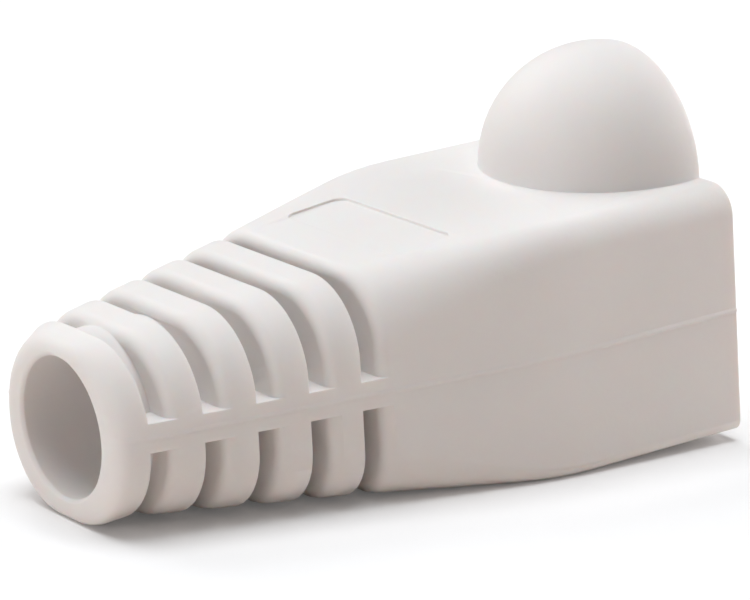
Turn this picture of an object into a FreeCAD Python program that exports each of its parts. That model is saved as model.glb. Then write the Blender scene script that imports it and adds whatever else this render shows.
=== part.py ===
import FreeCAD, Part
import math
import os

os.makedirs("parts", exist_ok=True)

# Strain relief boot for an RJ45 plug: one soft moulding. X runs from the cable
# nose to the plug end and Z is up through the latch cover. The origin is the
# centre of the cable bore at the tip of the nose. Heights are measured from the
# mould's parting plane unless a line says otherwise. All sizes are in mm.

# Lengths along the axis
total_length = 26.4        # tip of the nose to the plug end face
plug_end_length = 8.9      # straight box that grips the plug
collar_length = 1.1        # nose ring in front of the first groove
groove_width = 0.8
rib_width = 1.3
groove_count = 5

# Height of the parting plane over the bore axis
parting_z = 0.45

# Plug end box; its sides lean in a little towards the top
body_width = 13.9          # across the bottom
body_top_width = 13.1
body_height = 9.7
body_top_radius = 1.15
body_bottom_radius = 0.45
shoulder_bend = 1.6        # half length of the soft bend into the box
bend_steps = 4

# Section at the back of the nose ring
collar_width = 8.7
collar_top = 3.05
collar_bottom = 3.75
collar_top_radius = 3.25
collar_bottom_radius = 3.3

# Section in the middle of the last groove, where the smooth taper begins
neck_top = 4.13
neck_top_radius = 2.8
neck_bottom_radius = 2.1

# Tip of the nose, heights measured from the bore axis
tip_width = 7.65
tip_top = 3.12
tip_bottom = 3.62
tip_radius = 3.3
tip_round = 0.45           # outer edge
tip_steps = 5              # flats that make up that rounding
bore_chamfer = 0.12        # edge of the bore
flat_min = 0.06            # half length left straight in a round section

# Edges of the ribs
rib_round = 0.45           # edge that faces the nose
rib_steps = 4              # flats that make up that rounding
overrun = 0.1              # how far a groove cutter runs past that rounding

# Inside
bore_diameter = 5.35
core_diameter = 6.6        # tube left whole under the grooves
core_z = 0.1               # its axis, a little above the bore
cavity_width = 11.9
cavity_height = 7.9
cavity_radius = 0.5
bore_length = 12.0         # tip to the end wall of the inner taper
inner_end_width = 9.4      # inner taper at its end wall
inner_end_top = 3.0
inner_end_bottom = 3.2
mouth_chamfer = 0.25       # lead-in for the plug

# Side spines that bridge the grooves at the parting plane
spine_height = 1.08

# Latch cover: a ball cap cut off by the plug end face
cover_radius = 4.8
cover_setback = 1.15       # ball centre to the plug end face
cover_drop = 0.08          # ball centre under the top face
cover_wall = 0.9

# Shallow panel on the sloping top
panel_length = 2.7
panel_width = 7.2
panel_offset = -0.25       # its middle, to one side of the boot's
panel_corner = 0.5
panel_depth = 0.1
panel_end_x = 15.15        # edge nearer the plug end


def rounded_wire(x, half_widths, heights, radii):
    """Closed section across the axis. Each pair gives the bottom value, then the top."""
    bottom, top = heights
    lean = math.atan2(half_widths[0] - half_widths[1], top - bottom)
    limit = min(*half_widths, (top - bottom) / 2) - flat_min
    bottom_radius, top_radius = [min(radius, limit) for radius in radii]

    def corner(radius, centre_z, first, last):
        """Three points of a corner arc, tangent to the leaning side."""
        side = between(centre_z, bottom, half_widths[0], top, half_widths[1])
        centre_y = side - radius / math.cos(lean)
        points = []
        for angle in (first, (first + last) / 2, last):
            points.append(
                FreeCAD.Vector(
                    x, centre_y + radius * math.cos(angle), centre_z + radius * math.sin(angle)
                )
            )
        return points

    corners = [
        corner(bottom_radius, bottom + bottom_radius, -math.pi / 2, lean),
        corner(top_radius, top - top_radius, lean, math.pi / 2),
    ]
    for points in reversed(corners[:]):
        corners.append([FreeCAD.Vector(p.x, -p.y, p.z) for p in reversed(points)])
    edges = []
    for points, following in zip(corners, corners[1:] + corners[:1]):
        edges.append(Part.Arc(*points).toShape())
        edges.append(Part.makeLine(points[-1], following[0]))
    return Part.Wire(edges)


def between(x, x_start, at_start, x_end, at_end):
    """A size that changes in a straight line from one place to another."""
    return at_start + (x - x_start) / (x_end - x_start) * (at_end - at_start)


def box_between(lo, hi):
    size = [b - a for a, b in zip(lo, hi)]
    return Part.makeBox(*size, FreeCAD.Vector(*lo))


def slab(x_start, x_end, z_start, z_end):
    """Wide block that reaches past both sides of the boot."""
    return box_between((x_start, -beyond, z_start), (x_end, beyond, z_end))


def along_x(radius, x_start, x_end, z):
    """Round bar parallel to the cable axis."""
    return Part.makeCylinder(
        radius, x_end - x_start, FreeCAD.Vector(x_start, 0, z), FreeCAD.Vector(1, 0, 0)
    )


# Places that follow from the sizes above
shoulder_x = total_length - plug_end_length
pitch = groove_width + rib_width
neck_x = collar_length + (groove_count - 1) * pitch + groove_width / 2
body_top = parting_z + body_height / 2
body_bottom = parting_z - body_height / 2
beyond = body_width + body_height + total_length    # a cutter's reach past any face

# Half widths, heights and corner radii at each place where the outside changes
# direction, the bottom value of each pair first
neck_half_widths = [
    between(neck_x, collar_length, collar_width, shoulder_x, width) / 2
    for width in (body_width, body_top_width)
]
neck_bottom = between(neck_x, collar_length, collar_bottom, shoulder_x, body_height / 2)
STATIONS = [
    (0, [tip_width / 2, tip_width / 2, -tip_bottom, tip_top, tip_radius, tip_radius]),
    (
        collar_length,
        [
            collar_width / 2,
            collar_width / 2,
            parting_z - collar_bottom,
            parting_z + collar_top,
            collar_bottom_radius,
            collar_top_radius,
        ],
    ),
    (
        neck_x,
        neck_half_widths
        + [parting_z - neck_bottom, parting_z + neck_top, neck_bottom_radius, neck_top_radius],
    ),
    (
        shoulder_x,
        [
            body_width / 2,
            body_top_width / 2,
            body_bottom,
            body_top,
            body_bottom_radius,
            body_top_radius,
        ],
    ),
]


def eased(x):
    """Place on the straight taper whose sizes hold here, once the bend is eased in."""
    start = shoulder_x - shoulder_bend
    if x <= start:
        return x
    return shoulder_x - (shoulder_x + shoulder_bend - x) ** 2 / (4 * shoulder_bend)


def outline(x):
    """The six outer sizes at a place between the tip and the end of the bend."""
    place = eased(x)
    for start, end in zip(STATIONS, STATIONS[1:]):
        if place <= end[0]:
            break
    return [between(place, start[0], a, end[0], b) for a, b in zip(start[1], end[1])]


def outer_section(x, inset=0):
    """Outer section at a place along the axis, drawn in by an inset."""
    low_half, high_half, bottom, top, low_radius, high_radius = outline(x)
    return rounded_wire(
        x,
        (low_half - inset, high_half - inset),
        (bottom + inset, top - inset),
        (low_radius - inset, high_radius - inset),
    )


def rounded_front(x_start, radius, steps):
    """Sections that roll the outline in towards a face that looks at the nose."""
    sections = []
    for i in range(steps + 1):
        angle = math.pi / 2 * i / steps
        sections.append(
            outer_section(x_start + radius * (1 - math.cos(angle)), radius * (1 - math.sin(angle)))
        )
    return sections


def make_outside():
    """Nose, taper and plug end as one smooth solid, before any groove is cut."""
    sections = rounded_front(0, tip_round, tip_steps)
    sections += [outer_section(collar_length), outer_section(neck_x)]
    for i in range(bend_steps + 1):
        sections.append(
            outer_section(shoulder_x + shoulder_bend * between(i, 0, -1, bend_steps, 1))
        )
    taper = Part.makeLoft(sections, True, True)
    box = Part.Face(sections[-1]).extrude(
        FreeCAD.Vector(plug_end_length - shoulder_bend, 0, 0)
    )
    return taper.fuse(box)


def make_groove(index):
    """Groove down to the core, which leaves the spines and rounds over the edge behind it."""
    x_start = collar_length + index * pitch
    x_rib = x_start + groove_width
    x_end = x_rib + rib_round + overrun
    sections = rounded_front(x_rib, rib_round, rib_steps)
    sections.append(outer_section(x_end, -overrun / rib_steps))
    rib_front = Part.makeLoft(sections, True, True)
    core = along_x(core_diameter / 2, 0, total_length, core_z)
    spines = slab(0, total_length, parting_z - spine_height / 2, parting_z + spine_height / 2)
    return slab(x_start, x_end, -beyond, beyond).cut([rib_front, core, spines])


def make_panel_cutter():
    """Shallow panel that follows its own slope, with rounded corners."""
    x_start = panel_end_x - panel_length
    y_start = panel_offset - panel_width / 2
    top_start = outline(x_start)[3]
    top_end = outline(panel_end_x)[3]
    points = [
        FreeCAD.Vector(x_start, y_start, top_start - panel_depth),
        FreeCAD.Vector(panel_end_x, y_start, top_end - panel_depth),
        FreeCAD.Vector(panel_end_x, y_start, body_top + panel_depth),
        FreeCAD.Vector(x_start, y_start, body_top + panel_depth),
    ]
    profile = Part.Face(Part.makePolygon(points + points[:1]))
    block = profile.extrude(FreeCAD.Vector(0, panel_width, 0))
    upright = [e for e in block.Edges if abs(e.tangentAt(e.FirstParameter).z) > 0.999]
    return block.makeFillet(panel_corner, upright)


def make_inside():
    """Cable bore, the inner taper and the box that takes the plug."""
    bore_radius = bore_diameter / 2

    def cavity_section(x, grow=0):
        half_width = cavity_width / 2 + grow
        half_height = cavity_height / 2 + grow
        radius = cavity_radius + grow
        return rounded_wire(
            x,
            (half_width, half_width),
            (parting_z - half_height, parting_z + half_height),
            (radius, radius),
        )

    end_wall = rounded_wire(
        bore_length,
        (inner_end_width / 2, inner_end_width / 2),
        (parting_z - inner_end_bottom, parting_z + inner_end_top),
        (cavity_radius, cavity_radius),
    )
    seat = cavity_section(shoulder_x)
    taper = Part.makeLoft([end_wall, seat], True, True)
    box = Part.Face(seat).extrude(FreeCAD.Vector(plug_end_length, 0, 0))
    lead_in = Part.makeLoft(
        [cavity_section(total_length - mouth_chamfer), cavity_section(total_length, mouth_chamfer)],
        True,
        True,
    )
    bore = along_x(bore_radius, 0, bore_length, 0)
    rim = Part.makeCone(
        bore_radius + bore_chamfer,
        bore_radius,
        bore_chamfer,
        FreeCAD.Vector(0, 0, 0),
        FreeCAD.Vector(1, 0, 0),
    )
    return [bore, rim, taper, box, lead_in]


def make_cover():
    """Latch cover shell and the hollow that opens into the plug box."""
    centre = FreeCAD.Vector(total_length - cover_setback, 0, body_top - cover_drop)
    roof = (body_height - cavity_height) / 2
    keep = slab(0, total_length, body_top - roof / 2, beyond)
    ball = Part.makeSphere(cover_radius, centre, FreeCAD.Vector(0, 0, 1), -90, 90, 360)
    hollow = Part.makeSphere(cover_radius - cover_wall, centre, FreeCAD.Vector(0, 0, 1), -90, 90, 360)
    return ball.common(keep), hollow


def make_boot():
    """The outside with its grooves, then the cover, then everything hollow cut out."""
    cover, cover_hollow = make_cover()
    ribbed = make_outside()
    for i in range(groove_count):
        ribbed = ribbed.cut(make_groove(i))
    boot = ribbed.fuse(cover)
    return boot.cut(make_inside() + [cover_hollow, make_panel_cutter()]).removeSplitter()


boot = make_boot()
boot.exportStep("parts/boot.step")
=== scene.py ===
import math

import bmesh
import bpy
import numpy as np
from mathutils import Matrix, Vector


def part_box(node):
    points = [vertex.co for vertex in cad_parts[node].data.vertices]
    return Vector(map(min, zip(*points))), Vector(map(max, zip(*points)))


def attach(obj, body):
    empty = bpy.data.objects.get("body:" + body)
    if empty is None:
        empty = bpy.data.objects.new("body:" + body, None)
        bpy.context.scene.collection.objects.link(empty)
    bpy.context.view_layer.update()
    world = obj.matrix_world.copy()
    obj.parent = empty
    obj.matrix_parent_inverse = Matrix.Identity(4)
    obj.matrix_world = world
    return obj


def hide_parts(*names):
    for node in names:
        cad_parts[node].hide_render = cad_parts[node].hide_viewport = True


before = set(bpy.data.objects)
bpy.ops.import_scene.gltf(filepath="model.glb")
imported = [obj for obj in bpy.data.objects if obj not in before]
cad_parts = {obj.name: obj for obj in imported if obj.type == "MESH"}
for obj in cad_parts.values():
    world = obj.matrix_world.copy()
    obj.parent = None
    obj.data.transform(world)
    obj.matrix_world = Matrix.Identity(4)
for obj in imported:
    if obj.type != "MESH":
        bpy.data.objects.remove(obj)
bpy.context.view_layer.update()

bl_info = {
    "name": "Strain relief boot",
    "version": (1, 0, 0),
    "blender": (4, 5, 0),
    "location": "3D View > Sidebar > Boot",
    "description": "Dresses a moulded strain relief boot and lights it on a pale floor",
    "category": "Object",
}

BOOT_NODE = "boot"
BOOT_BODY = "root"
SMOOTH_ANGLE = math.radians(60)     # faces that meet at less than this shade as one
FLAT_ANGLE = math.radians(0.4)      # faces that meet at less than this are joined
MERGE_REACH = 2e-7                  # points closer than this become one
CUT_SNAP = 1e-8                     # a cut uses a point closer than this
ON_PLANE = 1e-7                     # points closer than this to a plane lie on it
SIDE_FACING = 0.4                   # least sideways part of a normal that faces a side
SHORTEST_RUN = 13                   # runs of fewer sharp edges stay sharp
LEAST_ROOM = 0.25                   # shortest edge of a rounded run, as a share of the radius
FLOOR_REACH = 0.6                   # from the middle of the floor to each side
LAMP_COLOUR = (0.95, 0.98, 1)
boot_low, boot_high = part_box(BOOT_NODE)


class BootSettings(bpy.types.PropertyGroup):
    edge_radius: bpy.props.FloatProperty(
        name="Edge radius",
        description="How far the moulded edges are rounded",
        default=0.00003,
        subtype="DISTANCE",
        unit="LENGTH",
    )
    edge_softness: bpy.props.FloatProperty(
        name="Edge softness",
        description="Reach over which the shading of an edge is blended",
        default=0.00006,
        subtype="DISTANCE",
        unit="LENGTH",
    )
    sharp_angle: bpy.props.FloatProperty(
        name="Sharp angle",
        description="Edges that turn more than this are rounded",
        default=math.radians(28),
        subtype="ANGLE",
        unit="ROTATION",
    )
    flash_place: bpy.props.FloatProperty(
        name="Parting height",
        description="Height of the mould's parting line over the bore axis",
        default=0.00045,
        subtype="DISTANCE",
        unit="LENGTH",
    )
    flash_width: bpy.props.FloatProperty(
        name="Flash half width",
        description="Half the width of the raised line left by the mould",
        default=0.0001,
        subtype="DISTANCE",
        unit="LENGTH",
    )
    flash_height: bpy.props.FloatProperty(
        name="Flash height",
        description="How far the raised line stands out of the sides",
        default=0.00005,
        subtype="DISTANCE",
        unit="LENGTH",
    )
    pvc_colour: bpy.props.FloatVectorProperty(
        name="Boot colour",
        description="Base colour of the soft plastic",
        default=(0.82, 0.785, 0.768),
        size=3,
        min=0,
        max=1,
        subtype="COLOR",
    )
    roughness: bpy.props.FloatProperty(
        name="Roughness", description="Roughness of the moulded skin", default=0.55, min=0, max=1
    )


class StageSettings(bpy.types.PropertyGroup):
    camera_place: bpy.props.FloatVectorProperty(
        name="Camera place",
        description="Where the camera stands",
        default=(-0.074007, -0.124018, 0.048988),
        size=3,
        subtype="TRANSLATION",
        unit="LENGTH",
    )
    camera_target: bpy.props.FloatVectorProperty(
        name="Camera target",
        description="The point that the middle of the view looks at",
        default=(0.014, -0.000274, 0.001973),
        size=3,
        subtype="TRANSLATION",
        unit="LENGTH",
    )
    camera_roll: bpy.props.FloatProperty(
        name="Camera roll",
        description="Turn of the camera about its line of sight",
        default=math.radians(-2.11),
        subtype="ANGLE",
        unit="ROTATION",
    )
    lens: bpy.props.FloatProperty(
        name="Lens", description="Focal length of the camera in mm", default=201.6, min=10
    )
    balance_place: bpy.props.FloatProperty(
        name="Balance place",
        description="Where along its axis the boot's centre of mass lies",
        default=0.014,
        subtype="DISTANCE",
        unit="LENGTH",
    )
    sky: bpy.props.FloatProperty(
        name="Surround light", description="Strength of the even light from all round", default=0.04
    )
    sky_colour: bpy.props.FloatVectorProperty(
        name="Surround colour",
        description="Colour of the even light, which fills the shadows",
        default=(1.0, 0.8, 0.68),
        size=3,
        min=0,
        max=1,
        subtype="COLOR",
    )
    top_power: bpy.props.FloatProperty(
        name="Overhead power",
        description="Power of the soft box over the boot",
        default=2.9,
        subtype="POWER",
    )
    back_power: bpy.props.FloatProperty(
        name="Back power",
        description="Power of the soft box behind the boot",
        default=1.4,
        subtype="POWER",
    )
    nose_power: bpy.props.FloatProperty(
        name="Nose power",
        description="Power of the low soft box in front of the nose",
        default=1.7,
        subtype="POWER",
    )
    plug_power: bpy.props.FloatProperty(
        name="Plug end power",
        description="Power of the low soft box behind the plug end",
        default=2.6,
        subtype="POWER",
    )
    box_size: bpy.props.FloatProperty(
        name="Soft box size",
        description="Side of each soft box",
        default=0.42,
        subtype="DISTANCE",
        unit="LENGTH",
    )


def named_mesh(name):
    """A new object with an empty mesh, at the origin, in the scene."""
    mesh = bpy.data.meshes.new(name)
    obj = bpy.data.objects.new(name, mesh)
    bpy.context.scene.collection.objects.link(obj)
    return obj


def merged_copy(name, node):
    """A copy of a CAD node's mesh with its doubles merged and its flat faces joined."""
    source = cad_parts[node]
    obj = named_mesh(name)
    bm = bmesh.new()
    bm.from_mesh(source.data)
    bmesh.ops.remove_doubles(bm, verts=bm.verts, dist=MERGE_REACH)
    bmesh.ops.dissolve_limit(
        bm,
        angle_limit=FLAT_ANGLE,
        verts=bm.verts,
        edges=bm.edges,
        use_dissolve_boundaries=False,
    )
    bm.to_mesh(obj.data)
    bm.free()
    return obj


def connected_runs(edges):
    """The edges in groups, each of which hangs together through shared points."""
    left = set(edges)
    runs = []
    while left:
        run = []
        found = [left.pop()]
        while found:
            edge = found.pop()
            run.append(edge)
            touching = {e for vert in edge.verts for e in vert.link_edges} & left
            left -= touching
            found.extend(touching)
        runs.append(run)
    return runs


def soften_edges(mesh, settings):
    """Round the sharp edges of a mesh, each run of them as far as it has room.

    A run of few edges and a run with next to no room stay sharp in form, because
    rounding them folds tiny faces over each other. Only their shading is softened.
    """
    bm = bmesh.new()
    bm.from_mesh(mesh)
    sharp = [
        e for e in bm.edges if e.is_manifold and e.calc_face_angle() > settings.sharp_angle
    ]
    least_edge = settings.edge_radius * LEAST_ROOM
    for run in connected_runs(sharp):
        if len(run) < SHORTEST_RUN or min(e.calc_length() for e in run) < least_edge:
            continue
        bmesh.ops.bevel(
            bm,
            geom=run,
            offset=settings.edge_radius,
            offset_type="OFFSET",
            segments=2,
            profile=0.5,
            affect="EDGES",
            clamp_overlap=True,
        )
    bm.to_mesh(mesh)
    bm.free()


def raise_flash(mesh, settings):
    """Raise the mould's parting line: a low ridge of triangular section along both sides.

    The mesh is cut at the parting height and a half width over and under it. The
    outward facing points of the middle cut move out by the flash height, and the
    two outer cuts are creases.
    """
    bm = bmesh.new()
    bm.from_mesh(mesh)
    bmesh.ops.triangulate(bm, faces=[face for face in bm.faces if len(face.verts) > 4])
    for step in (-1, 1, 0):
        height = settings.flash_place + step * settings.flash_width
        bmesh.ops.bisect_plane(
            bm,
            geom=bm.verts[:] + bm.edges[:] + bm.faces[:],
            dist=CUT_SNAP,
            plane_co=(0, 0, height),
            plane_no=(0, 0, 1),
        )
        if step:
            for edge in bm.edges:
                if all(abs(vert.co.z - height) < ON_PLANE for vert in edge.verts):
                    edge.smooth = False
    bm.to_mesh(mesh)
    bm.free()
    points = np.empty((len(mesh.vertices), 3))
    mesh.vertices.foreach_get("co", points.ravel())
    normals = np.empty((len(mesh.vertices), 3))
    mesh.vertices.foreach_get("normal", normals.ravel())
    on_line = np.abs(points[:, 2] - settings.flash_place) < ON_PLANE
    outward = (normals[:, 1] * points[:, 1] > 0) & (np.abs(normals[:, 1]) > SIDE_FACING)
    lift = np.copysign(settings.flash_height, points[:, 1])
    points[:, 1] += np.where(on_line & outward, lift, 0)
    mesh.vertices.foreach_set("co", points.ravel())
    mesh.update()


class BOOT_OT_skin(bpy.types.Operator):
    """The moulded skin: sharp edges rounded by a small radius, and the mould's parting line"""

    bl_idname = "boot.skin"
    bl_label = "Moulded skin"

    def execute(self, context):
        settings = context.scene.boot_settings
        skin = merged_copy("boot_skin", BOOT_NODE)
        soften_edges(skin.data, settings)
        skin.data.shade_smooth()
        skin.data.set_sharp_from_angle(angle=SMOOTH_ANGLE)
        raise_flash(skin.data, settings)
        even = skin.modifiers.new("even_normals", "WEIGHTED_NORMAL")
        even.mode = "FACE_AREA"
        even.weight = 50
        even.keep_sharp = True
        skin.data.materials.append(pvc_material(settings))
        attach(skin, BOOT_BODY)
        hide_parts(BOOT_NODE)
        return {"FINISHED"}


def pvc_material(settings):
    """Soft matt PVC: an even warm grey that drifts a little, a fine spark-eroded grain."""
    mat = bpy.data.materials.new("soft_pvc")
    mat.use_nodes = True
    nodes, links = mat.node_tree.nodes, mat.node_tree.links
    shader = nodes["Principled BSDF"]
    coord = nodes.new("ShaderNodeTexCoord")
    drift = nodes.new("ShaderNodeTexNoise")
    drift.inputs["Scale"].default_value = 160
    drift.inputs["Detail"].default_value = 3
    ramp = nodes.new("ShaderNodeValToRGB")
    base = settings.pvc_colour
    ramp.color_ramp.elements[0].position = 0.3
    ramp.color_ramp.elements[0].color = (base[0] * 0.97, base[1] * 0.965, base[2] * 0.96, 1)
    ramp.color_ramp.elements[1].position = 0.7
    ramp.color_ramp.elements[1].color = (*base, 1)
    grain = nodes.new("ShaderNodeTexNoise")
    grain.inputs["Scale"].default_value = 5200
    grain.inputs["Detail"].default_value = 4
    round_edge = nodes.new("ShaderNodeBevel")
    round_edge.samples = 6
    round_edge.inputs["Radius"].default_value = settings.edge_softness
    bump = nodes.new("ShaderNodeBump")
    bump.inputs["Strength"].default_value = 0.12
    bump.inputs["Distance"].default_value = 0.00003
    links.new(coord.outputs["Object"], drift.inputs["Vector"])
    links.new(coord.outputs["Object"], grain.inputs["Vector"])
    links.new(drift.outputs["Fac"], ramp.inputs["Fac"])
    links.new(ramp.outputs["Color"], shader.inputs["Base Color"])
    links.new(grain.outputs["Fac"], bump.inputs["Height"])
    links.new(round_edge.outputs["Normal"], bump.inputs["Normal"])
    links.new(bump.outputs["Normal"], shader.inputs["Normal"])
    shader.inputs["Roughness"].default_value = settings.roughness
    shader.inputs["Specular IOR Level"].default_value = 0.4
    shader.inputs["Subsurface Weight"].default_value = 0.35
    shader.inputs["Subsurface Radius"].default_value = (1.0, 0.5, 0.35)
    shader.inputs["Subsurface Scale"].default_value = 0.0005
    return mat


def floor_material():
    """White floor that keeps a soft shadow; only the camera sees it this pale."""
    mat = bpy.data.materials.new("pale_floor")
    mat.use_nodes = True
    nodes, links = mat.node_tree.nodes, mat.node_tree.links
    shader = nodes["Principled BSDF"]
    shader.inputs["Roughness"].default_value = 0.9
    shader.inputs["Specular IOR Level"].default_value = 0.0
    path = nodes.new("ShaderNodeLightPath")
    mix = nodes.new("ShaderNodeMix")
    mix.data_type = "RGBA"
    mix.inputs["A"].default_value = (0.85, 0.77, 0.72, 1)
    mix.inputs["B"].default_value = (0.88, 0.87, 0.87, 1)
    links.new(path.outputs["Is Camera Ray"], mix.inputs["Factor"])
    links.new(mix.outputs["Result"], shader.inputs["Base Color"])
    lift = nodes.new("ShaderNodeMath")
    lift.operation = "MULTIPLY"
    lift.inputs[1].default_value = 0.08
    links.new(path.outputs["Is Camera Ray"], lift.inputs[0])
    links.new(lift.outputs["Value"], shader.inputs["Emission Strength"])
    shader.inputs["Emission Color"].default_value = (1, 1, 1, 1)
    return mat


def resting_plane(node, balance):
    """Slope and height of the floor on which the boot comes to rest.

    Of all planes z = slope * x + height that touch its points from below, this is
    the one that stands highest under the balance place.
    """
    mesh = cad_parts[node].data
    points = np.empty(len(mesh.vertices) * 3)
    mesh.vertices.foreach_get("co", points)
    points = points.reshape(-1, 3)
    slopes = np.linspace(-0.2, 0.2, 801)
    heights = np.min(points[:, 2, None] - points[:, 0, None] * slopes, axis=0)
    best = np.argmax(heights + slopes * balance)
    return slopes[best], heights[best]


def area_light(name, place, target, size, power):
    """A square soft box at a place, turned to face a target."""
    data = bpy.data.lights.new(name, "AREA")
    data.size = size
    data.energy = power
    data.color = LAMP_COLOUR
    obj = bpy.data.objects.new(name, data)
    bpy.context.scene.collection.objects.link(obj)
    obj.location = place
    obj.rotation_euler = (Vector(target) - Vector(place)).to_track_quat("-Z", "Y").to_euler()


class BOOT_OT_stage(bpy.types.Operator):
    """Pale floor that the boot rests on, even surround light, four soft boxes and the camera"""

    bl_idname = "boot.stage"
    bl_label = "Floor, light and camera"

    def execute(self, context):
        scene = context.scene
        settings = scene.stage_settings
        floor = named_mesh("floor")
        steps = np.linspace(-FLOOR_REACH, FLOOR_REACH, 2)
        x, y = np.meshgrid(steps, steps)
        slope, height = resting_plane(BOOT_NODE, settings.balance_place)
        points = np.column_stack([x.ravel(), y.ravel(), slope * x.ravel() + height])
        floor.data.from_pydata(points.tolist(), [], [(0, 1, 3, 2)])
        floor.data.materials.append(floor_material())

        world = bpy.data.worlds.new("surround")
        world.use_nodes = True
        scene.world = world
        nodes, links = world.node_tree.nodes, world.node_tree.links
        background = nodes["Background"]
        path = nodes.new("ShaderNodeLightPath")
        tint = nodes.new("ShaderNodeMix")
        tint.data_type = "RGBA"
        tint.inputs["A"].default_value = (*settings.sky_colour, 1)
        tint.inputs["B"].default_value = (1, 1, 1, 1)
        links.new(path.outputs["Is Camera Ray"], tint.inputs["Factor"])
        links.new(tint.outputs["Result"], background.inputs["Color"])
        mix = nodes.new("ShaderNodeMix")
        mix.data_type = "FLOAT"
        mix.inputs[2].default_value = settings.sky
        mix.inputs[3].default_value = 1.0
        links.new(path.outputs["Is Camera Ray"], mix.inputs[0])
        links.new(mix.outputs[0], background.inputs["Strength"])

        middle = (Vector(boot_low) + Vector(boot_high)) / 2
        for name, offset, power in (
            ("overhead", (0, 0, 0.6), settings.top_power),
            ("back", (0, 0.45, 0.38), settings.back_power),
            ("nose_side", (-0.55, 0.05, 0.06), settings.nose_power),
            ("plug_side", (0.5, -0.08, 0.06), settings.plug_power),
        ):
            area_light(name, middle + Vector(offset), middle, settings.box_size, power)

        data = bpy.data.cameras.new("camera")
        camera = bpy.data.objects.new("camera", data)
        scene.collection.objects.link(camera)
        place = Vector(settings.camera_place)
        sight = Vector(settings.camera_target) - place
        roll = Matrix.Rotation(settings.camera_roll, 3, "Z").to_quaternion()
        turn = sight.to_track_quat("-Z", "Y") @ roll
        camera.location = place
        camera.rotation_euler = turn.to_euler()
        data.lens = settings.lens
        data.clip_start = 0.005
        scene.camera = camera
        scene.view_settings.view_transform = "Standard"
        return {"FINISHED"}


class BOOT_PT_panel(bpy.types.Panel):
    """Lists the steps that dress the boot"""

    bl_idname = "BOOT_PT_panel"
    bl_label = "Strain relief boot"
    bl_space_type = "VIEW_3D"
    bl_region_type = "UI"
    bl_category = "Boot"

    def draw(self, context):
        layout = self.layout
        scene = context.scene
        for name in BootSettings.__annotations__:
            layout.prop(scene.boot_settings, name)
        layout.operator(BOOT_OT_skin.bl_idname)
        for name in StageSettings.__annotations__:
            layout.prop(scene.stage_settings, name)
        layout.operator(BOOT_OT_stage.bl_idname)


CLASSES = (BootSettings, StageSettings, BOOT_OT_skin, BOOT_OT_stage, BOOT_PT_panel)


def register():
    for cls in CLASSES:
        bpy.utils.register_class(cls)
    bpy.types.Scene.boot_settings = bpy.props.PointerProperty(type=BootSettings)
    bpy.types.Scene.stage_settings = bpy.props.PointerProperty(type=StageSettings)


def unregister():
    del bpy.types.Scene.stage_settings
    del bpy.types.Scene.boot_settings
    for cls in reversed(CLASSES):
        bpy.utils.unregister_class(cls)


def main():
    register()
    bpy.ops.boot.skin()
    bpy.ops.boot.stage()


if __name__ == "__main__":
    main()
